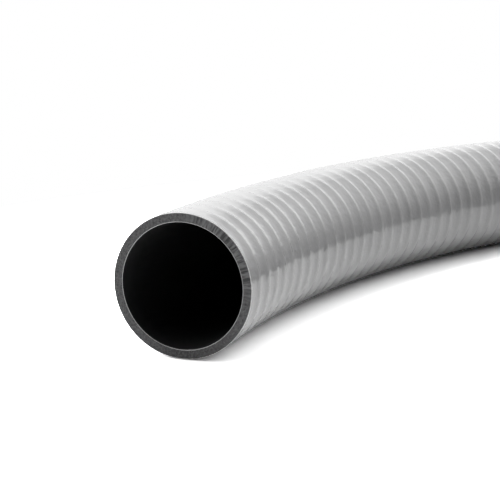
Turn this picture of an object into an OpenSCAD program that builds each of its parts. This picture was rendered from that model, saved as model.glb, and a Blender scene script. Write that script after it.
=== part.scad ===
// Corrugated flexible conduit for cables: one cut length of plasticised PVC tube
// with a smooth bore and rounded ribs on the outside. It lies flat on the floor at
// Z = 0, in a quarter bend left over from its coil. Millimetres, +Z up. The origin
// is on the floor, in the middle of the plan.

/* [Section] */
// Clear diameter of the smooth bore
bore_d = 50; // [30:0.5:60]
// Wall from the bore to the outside between two ribs
wall_t = 3.5; // [3:0.1:6]

/* [Ribs] */
// Distance along the centreline from one rib to the next
rib_pitch = 10; // [8:0.5:20]
// Width of a rib at its foot
rib_w = 3.6; // [3:0.1:5]
// Height of a rib above the wall between two ribs
rib_h = 0.4; // [0.3:0.05:0.6]
// Distance from the first cut end to the middle of the first rib
first_rib = 8; // [6:0.5:10]

/* [Length and lay] */
// Length along the centreline
cut_length = 1000; // [960:10:1500]
// Radius of the centreline in the bend
coil_r = 535; // [450:5:560]
// Straight stretch between the first cut end and the bend
first_straight = 25; // [20:1:40]

/* [Hidden] */

bore_r = bore_d / 2;
root_r = bore_r + wall_t;
crest_r = root_r + rib_h;

// The second straight stretch takes what the quarter bend leaves.
quarter = 90;
bend_length = coil_r * PI / 2;
last_straight = cut_length - first_straight - bend_length;

// Centre of the bend, with the middle of the plan on the origin
plan_x = crest_r + coil_r + last_straight;
plan_y = first_straight + coil_r + crest_r;
bend_centre = [plan_x / 2 - last_straight, first_straight - plan_y / 2, crest_r];

// A rib's rounded top is one arc across its foot.
arc_r = (rib_w * rib_w / 4 + rib_h * rib_h) / (2 * rib_h);
arc_mid_r = crest_r - arc_r;

// How far a rib reaches down into the wall that carries it
rib_seat = 1.2;
rib_count = floor((cut_length - first_rib - rib_pitch / 2) / rib_pitch) + 1;

// How far the bore's cutter runs past a cut end
past = 2;

round_steps = 96;
bend_steps = 360;
rib_steps = 48;

// Puts its children on the centreline, a distance from the first cut end, with +Z
// along the conduit towards its second end.
module on_centreline(distance) {
    round_bend = min(max(distance - first_straight, 0), bend_length);
    beside_bend = distance - first_straight - round_bend;
    translate(bend_centre)
        rotate(quarter - quarter * round_bend / bend_length)
            translate([beside_bend, coil_r, 0])
                rotate([0, 90, 0])
                    children();
}

// A round bar that follows the whole centreline and may run on past both ends
module bar(radius, over = 0) {
    on_centreline(-over)
        cylinder(h = first_straight + over, r = radius, $fn = round_steps);
    translate(bend_centre)
        rotate_extrude(angle = quarter, start = quarter, $fn = bend_steps)
            translate([coil_r, 0])
                circle(r = radius, $fn = round_steps);
    on_centreline(first_straight + bend_length)
        cylinder(h = last_straight + over, r = radius, $fn = round_steps);
}

// One rib, a closed ring square to the centreline
module rib() {
    rotate_extrude($fn = round_steps)
        intersection() {
            translate([arc_mid_r, 0])
                circle(r = arc_r, $fn = rib_steps);
            translate([root_r - rib_seat, -rib_w])
                square([rib_seat + 2 * rib_h, 2 * rib_w]);
        }
}

module conduit() {
    color("silver")
        difference() {
            union() {
                bar(root_r);
                for (i = [0 : rib_count - 1])
                    on_centreline(first_rib + i * rib_pitch)
                        rib();
            }
            bar(bore_r, past);
        }
}

conduit();
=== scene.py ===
import math

import bmesh
import bpy
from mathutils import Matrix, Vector


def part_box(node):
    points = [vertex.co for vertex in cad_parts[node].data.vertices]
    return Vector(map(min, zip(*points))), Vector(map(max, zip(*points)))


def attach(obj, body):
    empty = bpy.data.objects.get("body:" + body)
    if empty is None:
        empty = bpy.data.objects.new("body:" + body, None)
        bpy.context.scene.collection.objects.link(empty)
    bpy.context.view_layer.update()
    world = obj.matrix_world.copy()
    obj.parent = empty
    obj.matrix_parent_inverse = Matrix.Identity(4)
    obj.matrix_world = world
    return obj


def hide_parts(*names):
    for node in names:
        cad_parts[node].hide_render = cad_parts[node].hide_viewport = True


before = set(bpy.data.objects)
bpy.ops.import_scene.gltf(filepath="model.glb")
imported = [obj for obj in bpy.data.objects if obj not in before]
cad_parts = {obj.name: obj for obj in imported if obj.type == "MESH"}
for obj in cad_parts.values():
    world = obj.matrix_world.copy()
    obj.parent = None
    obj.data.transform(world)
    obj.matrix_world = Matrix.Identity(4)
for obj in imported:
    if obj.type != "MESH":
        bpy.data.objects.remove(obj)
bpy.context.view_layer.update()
print("frame loaded")


# where the conduit lies: straight from the first cut, round a quarter bend, then straight
lay = {
    "length": 1.0,
    "bendRadius": 0.535,
    "firstStraight": 0.025,
    "crestRadius": 0.0289,
}

nodeLow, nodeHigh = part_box("conduit")
bendLength = lay["bendRadius"] * math.pi / 2


def bendMiddle():
    lastStraight = lay["length"] - lay["firstStraight"] - bendLength
    return Vector((nodeHigh.x - lastStraight, nodeLow.y + lay["firstStraight"], lay["crestRadius"]))


# (point, direction, side) of the centreline; side points away from the bend's middle
def centrelineFrame(distance):
    roundBend = min(max(distance - lay["firstStraight"], 0), bendLength)
    beside = distance - lay["firstStraight"] - roundBend
    turn = roundBend / lay["bendRadius"]
    along = Vector((math.sin(turn), math.cos(turn), 0))
    side = Vector((-math.cos(turn), math.sin(turn), 0))
    return bendMiddle() + side * lay["bendRadius"] + along * beside, along, side


def newMaterial(name):
    material = bpy.data.materials.new(name)
    material.use_nodes = True
    nodes, links = material.node_tree.nodes, material.node_tree.links
    return material, nodes, links, nodes["Principled BSDF"]


def noiseOf(nodes, links, vector, scale, detail=3, roughness=0.5):
    noise = nodes.new("ShaderNodeTexNoise")
    noise.inputs["Scale"].default_value = scale
    noise.inputs["Detail"].default_value = detail
    noise.inputs["Roughness"].default_value = roughness
    links.new(vector, noise.inputs["Vector"])
    return noise.outputs["Fac"]


# fits the span of value between the two "from" numbers onto the two "to" numbers
def rangeOf(nodes, links, value, spanFrom, spanTo):
    fit = nodes.new("ShaderNodeMapRange")
    links.new(value, fit.inputs["Value"])
    for name, number in zip(("From Min", "From Max", "To Min", "To Max"), (*spanFrom, *spanTo)):
        fit.inputs[name].default_value = number
    return fit.outputs["Result"]


def blendOf(nodes, links, share, dark, light):
    ramp = nodes.new("ShaderNodeValToRGB")
    ramp.color_ramp.elements[0].color = (*dark, 1)
    ramp.color_ramp.elements[1].color = (*light, 1)
    links.new(share, ramp.inputs["Fac"])
    return ramp.outputs["Color"]


def bumpOf(nodes, links, height, depth, under=None):
    bump = nodes.new("ShaderNodeBump")
    bump.inputs["Strength"].default_value = 1
    bump.inputs["Distance"].default_value = depth
    links.new(height, bump.inputs["Height"])
    if under is not None:
        links.new(under, bump.inputs["Normal"])
    return bump.outputs["Normal"]


def mathOf(nodes, links, operation, first, second=None):
    node = nodes.new("ShaderNodeMath")
    node.operation = operation
    for value, entry in zip((first, second), node.inputs):
        if isinstance(value, (int, float)):
            entry.default_value = value
        elif value is not None:
            links.new(value, entry)
    return node.outputs["Value"]


# output is "Vector" or "Value"; second is a socket, three numbers or nothing
def vectorOf(nodes, links, operation, output, first, second=None):
    node = nodes.new("ShaderNodeVectorMath")
    node.operation = operation
    links.new(first, node.inputs[0])
    if isinstance(second, bpy.types.NodeSocket):
        links.new(second, node.inputs[1])
    elif second is not None:
        node.inputs[1].default_value = second
    return node.outputs[output]


# the place on the straight conduit: x along it, y and z across it
def straightPlace(nodes):
    place = nodes.new("ShaderNodeAttribute")
    place.attribute_name = "straightPlace"
    return place.outputs["Vector"]


outsideFinish = {
    "dark": (0.38, 0.38, 0.384),
    "light": (0.42, 0.42, 0.424),
    "ior": 1.65,
    "roughness": (0.06, 0.1),
    "cloudScale": 60,
    "cloudSpan": (0.3, 0.7),
    "waveScale": 400,
    "waveDetail": 2,
    "waveDepth": 0.0002,
    "grainScale": 1400,
    "grainDepth": 0.00001,
}


def outsideMaterial():
    look = outsideFinish
    material, nodes, links, shader = newMaterial("greyPvc")
    place = straightPlace(nodes)
    cloud = noiseOf(nodes, links, place, look["cloudScale"])
    share = rangeOf(nodes, links, cloud, look["cloudSpan"], (0, 1))
    links.new(blendOf(nodes, links, share, look["dark"], look["light"]), shader.inputs["Base Color"])
    gloss = rangeOf(nodes, links, cloud, look["cloudSpan"], look["roughness"])
    links.new(gloss, shader.inputs["Roughness"])
    shader.inputs["IOR"].default_value = look["ior"]
    wave = noiseOf(nodes, links, place, look["waveScale"], look["waveDetail"])
    grain = noiseOf(nodes, links, place, look["grainScale"])
    first = bumpOf(nodes, links, wave, look["waveDepth"])
    links.new(bumpOf(nodes, links, grain, look["grainDepth"], first), shader.inputs["Normal"])
    return material


# grain all over the cut, and saw marks on the side that marksSide points to
sawnFinish = {
    "dark": (0.03, 0.03, 0.031),
    "light": (0.17, 0.17, 0.173),
    "marksSide": (0, -0.77, 0.64),
    "marksReach": (0.55, 0.9),
    "grainScale": 1100,
    "grainDetail": (2, 0.7),
    "grainSpan": (0.3, 0.7),
    "grainRange": (0.05, 0.95),
    "streakScale": 900,
    "streakDetail": (2, 0.6),
    "streakSpan": (0.4, 0.6),
    "streakStretch": 0.14,
    "depth": 0.0002,
    "roughness": 0.62,
}


def sawnMaterial():
    look = sawnFinish
    material, nodes, links, shader = newMaterial("sawnPvc")
    place = straightPlace(nodes)
    across = vectorOf(nodes, links, "MULTIPLY", "Vector", place, (0, 1, 1))
    outward = vectorOf(nodes, links, "NORMALIZE", "Vector", across)
    radius = conduit["boreRadius"]
    rim = vectorOf(nodes, links, "MULTIPLY", "Vector", outward, (0, radius, radius))
    stretch = look["streakStretch"]
    inward = vectorOf(nodes, links, "MULTIPLY", "Vector", across, (0, stretch, stretch))
    along = vectorOf(nodes, links, "ADD", "Vector", rim, inward)
    streaks = noiseOf(nodes, links, along, look["streakScale"], *look["streakDetail"])
    grain = noiseOf(nodes, links, place, look["grainScale"], *look["grainDetail"])
    towards = vectorOf(nodes, links, "DOT_PRODUCT", "Value", outward, look["marksSide"])
    marks = nodes.new("ShaderNodeMix")
    links.new(rangeOf(nodes, links, towards, look["marksReach"], (0, 1)), marks.inputs["Factor"])
    links.new(rangeOf(nodes, links, grain, look["grainSpan"], look["grainRange"]), marks.inputs["A"])
    links.new(rangeOf(nodes, links, streaks, look["streakSpan"], (0, 1)), marks.inputs["B"])
    height = marks.outputs["Result"]
    links.new(blendOf(nodes, links, height, look["dark"], look["light"]), shader.inputs["Base Color"])
    shader.inputs["Roughness"].default_value = look["roughness"]
    links.new(bumpOf(nodes, links, height, look["depth"]), shader.inputs["Normal"])
    return material


boreFinish = {
    "dark": (0.018, 0.018, 0.019),
    "light": (0.028, 0.028, 0.029),
    "drawnStretch": (0.1, 1, 1),
    "drawnScale": 900,
    "depth": 0.00003,
    "roughness": 0.5,
}


def boreMaterial():
    look = boreFinish
    material, nodes, links, shader = newMaterial("borePvc")
    drawn = vectorOf(nodes, links, "MULTIPLY", "Vector", straightPlace(nodes), look["drawnStretch"])
    drawn = noiseOf(nodes, links, drawn, look["drawnScale"])
    links.new(blendOf(nodes, links, drawn, look["dark"], look["light"]), shader.inputs["Base Color"])
    shader.inputs["Roughness"].default_value = look["roughness"]
    links.new(bumpOf(nodes, links, drawn, look["depth"]), shader.inputs["Normal"])
    return material


# near-white colour for the rounded rims of the cut: partly a scraped edge, partly a painted highlight
# standing in for the light line along both rims
scrapedAndPaintedHighlightFinish = {
    "dark": (0.7, 0.7, 0.7),
    "light": (0.9, 0.9, 0.9),
    "scale": 1500,
    "span": (0.35, 0.65),
    "roughness": 0.45,
}


def scrapedAndPaintedHighlightMaterial():
    look = scrapedAndPaintedHighlightFinish
    material, nodes, links, shader = newMaterial("scrapedPvcAndPaintedHighlight")
    rough = noiseOf(nodes, links, straightPlace(nodes), look["scale"])
    share = rangeOf(nodes, links, rough, look["span"], (0, 1))
    links.new(blendOf(nodes, links, share, look["dark"], look["light"]), shader.inputs["Base Color"])
    shader.inputs["Roughness"].default_value = look["roughness"]
    return material


# ribSteps are the places of a rib's points, as shares of the pitch from its crest
conduit = {
    "boreRadius": 0.025,
    "ribHeight": 0.00048,
    "ribPitch": 0.010,
    "frontSpread": 0.0019,
    "backSpread": 0.001,
    "firstCrest": 0.009,
    "ribSteps": (-0.5, -0.4, -0.31, -0.23, -0.16, -0.09, -0.03,
                 0.02, 0.06, 0.1, 0.14, 0.19, 0.26, 0.38),
    "outerRim": 0.00025,
    "innerRim": 0.00018,
    "rimTurns": (0, 30, 60, 90),
    "rimClearance": 1.3,
    "cutDepth": 0.05,
    "wallInset": 0.001,
    "sidesRound": 64,
    "boreStep": 0.0125,
}


# radius of the outside: a gentle rise to each rib's crest and a steeper fall behind it
def outsideRadius(distance):
    pitch = conduit["ribPitch"]
    offset = (distance - conduit["firstCrest"] + pitch / 2) % pitch - pitch / 2
    spread = conduit["frontSpread"] if offset < 0 else conduit["backSpread"]
    root = lay["crestRadius"] - conduit["ribHeight"]
    return root + conduit["ribHeight"] * math.exp(-0.5 * (offset / spread) ** 2)


# (distance, radius) up the cut, rounded where it meets the bore and the outside
def rimPoints(cutRadius):
    inner, outer, bore = conduit["innerRim"], conduit["outerRim"], conduit["boreRadius"]
    turns = [math.radians(a) for a in conduit["rimTurns"]]
    fromBore = [(inner * (1 - math.sin(t)), bore + inner * (1 - math.cos(t))) for t in turns]
    toOutside = [(outer * (1 - math.cos(t)), cutRadius - outer * (1 - math.sin(t))) for t in turns]
    return fromBore + toOutside


# (distance, radius) once round the wall: over the first cut, along the ribs, back down the bore
def wallProfile():
    bore, length, pitch = conduit["boreRadius"], lay["length"], conduit["ribPitch"]
    clear = conduit["rimClearance"] * conduit["outerRim"]
    places = []
    for i in range(round(length / pitch) + 1):
        crest = conduit["firstCrest"] + (i - 1) * pitch
        places += [crest + offset * pitch for offset in conduit["ribSteps"]]
    ribs = [(place, outsideRadius(place)) for place in places if clear < place < length - clear]
    lastRim = reversed(rimPoints(outsideRadius(length)))
    lastCut = [(length - distance, radius) for distance, radius in lastRim]
    steps = round(length / conduit["boreStep"])
    back = [(length * (1 - k / steps), bore) for k in range(1, steps)]
    return rimPoints(outsideRadius(0)) + ribs + lastCut + back


# 0 outside, 1 sawn end, 2 bore, 3 scraped edge with a painted highlight: near-white rims round both
# edges of the cut; the face is still on the straight conduit
def finishOf(face):
    place = face.calc_center_median()
    onOutside = math.hypot(place.y, place.z) > conduit["boreRadius"] + conduit["wallInset"]
    fromEnd = min(place.x, lay["length"] - place.x)
    if fromEnd < conduit["innerRim"] * conduit["cutDepth"]:
        return 1
    if fromEnd < conduit["outerRim"] and onOutside:
        return 3
    if fromEnd < conduit["innerRim"]:
        return 3
    return 0 if onOutside else 2


# moves the straight conduit onto its centreline, and keeps the straight place for the materials
def layDown(bm):
    straight = bm.verts.layers.float_vector.new("straightPlace")
    for v in bm.verts:
        v[straight] = v.co
        point, along, side = centrelineFrame(v.co.x)
        v.co = point + side * v.co.y + Vector((0, 0, v.co.z))


def buildConduit():
    bm = bmesh.new()
    verts = [bm.verts.new((distance, radius, 0)) for distance, radius in wallProfile()]
    edges = [bm.edges.new((a, b)) for a, b in zip(verts, verts[1:] + verts[:1])]
    bmesh.ops.spin(bm, geom=verts + edges, axis=(1, 0, 0), cent=(0, 0, 0),
                   steps=conduit["sidesRound"], angle=math.tau, use_merge=True)
    for face in bm.faces:
        face.material_index = finishOf(face)
        face.smooth = face.material_index != 1
    layDown(bm)
    bmesh.ops.recalc_face_normals(bm, faces=bm.faces)
    mesh = bpy.data.meshes.new("conduitBody")
    bm.to_mesh(mesh)
    bm.free()
    for material in (outsideMaterial(), sawnMaterial(), boreMaterial(), scrapedAndPaintedHighlightMaterial()):
        mesh.materials.append(material)
    piece = bpy.data.objects.new("conduitBody", mesh)
    bpy.context.collection.objects.link(piece)
    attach(piece, "root")
    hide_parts("conduit")
    print("conduit", len(mesh.polygons), "faces")


# reaches are distances from the conduit's centreline; gains and the glow are only for rays that
# show the floor, so that it is white to the camera and in the gloss, and keeps the shadow
studio = {
    "floorSize": 60,
    "floorGrey": 0.9,
    "cameraGain": 3.6,
    "clearReach": (0.21, 0.31),
    # the low end of the near gain is painted contact shade: in the gloss the floor turns darker close
    # under the conduit, on top of its real shadow
    "nearGain": (1.2, 3.2),
    "paintedContactShadeReach": (0.018, 0.026),
    "nearReach": (0.025, 0.03),
    "glowStrength": 1.0,
    "glowRise": (-8.2, -6.4),
}

# broad soft lights, far off: each is full out to one angle from its middle, then fades
softLights = [
    {"heading": -81, "rise": 19, "strength": 1.22, "full": 59, "fade": 20},
    {"heading": 32, "rise": 41, "strength": 1.75, "full": 5, "fade": 46},
    {"heading": -25, "rise": 73, "strength": 3.11, "full": 9, "fade": 13},
    {"heading": -39, "rise": 39, "strength": 1.07, "full": 15, "fade": 22},
    {"heading": 3, "rise": 9, "strength": 1.5, "full": 4, "fade": 20},
]


# 1 for a ray that shows what it meets: from the camera, off a gloss or through glass
def seenRays(nodes, links):
    path = nodes.new("ShaderNodeLightPath").outputs
    gloss = mathOf(nodes, links, "MAXIMUM", path["Is Camera Ray"], path["Is Glossy Ray"])
    return mathOf(nodes, links, "MAXIMUM", gloss, path["Is Transmission Ray"])


# how far a point of the floor is from the circle that the bend lies on
def besideBend(nodes, links, place):
    middle = bendMiddle() * Vector((1, 1, 0))
    away = vectorOf(nodes, links, "DISTANCE", "Value", place, middle)
    beside = mathOf(nodes, links, "SUBTRACT", away, lay["bendRadius"])
    return mathOf(nodes, links, "ABSOLUTE", beside)


def mixed(nodes, links, share, first, second):
    mix = nodes.new("ShaderNodeMixShader")
    for entry, socket in enumerate((share, first, second)):
        links.new(socket, mix.inputs[entry])
    return mix.outputs["Shader"]


def diffuseOf(nodes, grey):
    diffuse = nodes.new("ShaderNodeBsdfDiffuse")
    diffuse.inputs["Color"].default_value = (grey, grey, grey, 1)
    return diffuse.outputs["BSDF"]


def floorMaterial():
    material, nodes, links, shader = newMaterial("paleFloor")
    nodes.remove(shader)
    path = nodes.new("ShaderNodeLightPath")
    beside = besideBend(nodes, links, nodes.new("ShaderNodeTexCoord").outputs["Object"])
    white = nodes.new("ShaderNodeEmission")
    links.new(path.outputs["Is Camera Ray"], white.inputs["Strength"])
    clear = rangeOf(nodes, links, beside, studio["clearReach"], (0, 1))
    lit = diffuseOf(nodes, studio["cameraGain"])
    straightOn = mixed(nodes, links, clear, lit, white.outputs["Emission"])
    near = nodes.new("ShaderNodeBsdfDiffuse")
    # painted contact shade: the floor's colour for gloss rays drops towards the conduit's contact
    gain = rangeOf(nodes, links, beside, studio["paintedContactShadeReach"], studio["nearGain"])
    links.new(gain, near.inputs["Color"])
    through = nodes.new("ShaderNodeBsdfTransparent")
    far = rangeOf(nodes, links, beside, studio["nearReach"], (0, 1))
    reflected = mixed(nodes, links, far, near.outputs["BSDF"], through.outputs["BSDF"])
    seen = mixed(nodes, links, path.outputs["Is Camera Ray"], reflected, straightOn)
    plain = diffuseOf(nodes, studio["floorGrey"])
    whole = mixed(nodes, links, seenRays(nodes, links), plain, seen)
    links.new(whole, nodes["Material Output"].inputs["Surface"])
    return material


def buildFloor():
    bm = bmesh.new()
    bmesh.ops.create_grid(bm, x_segments=1, y_segments=1, size=studio["floorSize"] / 2)
    mesh = bpy.data.meshes.new("floor")
    bm.to_mesh(mesh)
    bm.free()
    mesh.materials.append(floorMaterial())
    floor = bpy.data.objects.new("floor", mesh)
    bpy.context.collection.objects.link(floor)


def pointing(heading, rise):
    heading, rise = math.radians(heading), math.radians(rise)
    level = math.cos(rise)
    return math.sin(heading) * level, math.cos(heading) * level, math.sin(rise)


def lightOf(nodes, links, direction, light):
    middle = pointing(light["heading"], light["rise"])
    towards = vectorOf(nodes, links, "DOT_PRODUCT", "Value", direction, middle)
    full, end = math.radians(light["full"]), math.radians(light["full"] + light["fade"])
    fade = nodes.new("ShaderNodeMapRange")
    fade.interpolation_type = "SMOOTHSTEP"
    numbers = (full, end, light["strength"], 0)
    for name, number in zip(("From Min", "From Max", "To Min", "To Max"), numbers):
        fade.inputs[name].default_value = number
    links.new(mathOf(nodes, links, "ARCCOSINE", towards), fade.inputs["Value"])
    return fade.outputs["Result"]


# the lights, the white floor beyond the near one as the gloss shows it, and white for the camera
def buildWorld():
    world = bpy.data.worlds.new("studio")
    world.use_nodes = True
    nodes, links = world.node_tree.nodes, world.node_tree.links
    direction = nodes.new("ShaderNodeTexCoord").outputs["Generated"]
    path = nodes.new("ShaderNodeLightPath").outputs
    total = lightOf(nodes, links, direction, softLights[0])
    for light in softLights[1:]:
        total = mathOf(nodes, links, "ADD", total, lightOf(nodes, links, direction, light))
    height = nodes.new("ShaderNodeSeparateXYZ")
    links.new(direction, height.inputs["Vector"])
    levels = [math.sin(math.radians(rise)) for rise in studio["glowRise"]]
    glow = rangeOf(nodes, links, height.outputs["Z"], levels, (studio["glowStrength"], 0))
    glow = mathOf(nodes, links, "MULTIPLY", glow, path["Is Glossy Ray"])
    lit = nodes["Background"]
    lit.inputs["Color"].default_value = (1, 1, 1, 1)
    links.new(mathOf(nodes, links, "MAXIMUM", total, glow), lit.inputs["Strength"])
    white = nodes.new("ShaderNodeBackground")
    white.inputs["Color"].default_value = (1, 1, 1, 1)
    white.inputs["Strength"].default_value = 1
    whole = mixed(nodes, links, path["Is Camera Ray"], lit.outputs["Background"],
                  white.outputs["Background"])
    links.new(whole, nodes["World Output"].inputs["Surface"])
    bpy.context.scene.world = world


# back and right are from the middle of the first cut, height is above the floor
cameraSettings = {
    "lens": 94.79,
    "heading": -20.2,
    "pitch": 10.896,
    "height": 0.13787,
    "back": 0.49197,
    "right": 0.02616,
    "clip": (0.01, 200),
}


def buildCamera():
    start = centrelineFrame(0)[0]
    turn = math.radians(cameraSettings["heading"])
    forward = Vector((math.sin(turn), math.cos(turn), 0))
    right = Vector((math.cos(turn), -math.sin(turn), 0))
    place = start - forward * cameraSettings["back"] + right * cameraSettings["right"]
    place.z = cameraSettings["height"]
    tilt = math.radians(cameraSettings["pitch"])
    look = forward * math.cos(tilt) - Vector((0, 0, math.sin(tilt)))
    lens = bpy.data.cameras.new("camera")
    lens.lens = cameraSettings["lens"]
    lens.clip_start, lens.clip_end = cameraSettings["clip"]
    camera = bpy.data.objects.new("camera", lens)
    camera.location = place
    camera.rotation_euler = look.to_track_quat("-Z", "Y").to_euler()
    bpy.context.collection.objects.link(camera)
    bpy.context.scene.camera = camera


buildCamera()
buildFloor()
buildWorld()
print("studio ready")
buildConduit()

bpy.context.scene.view_settings.view_transform = "Standard"
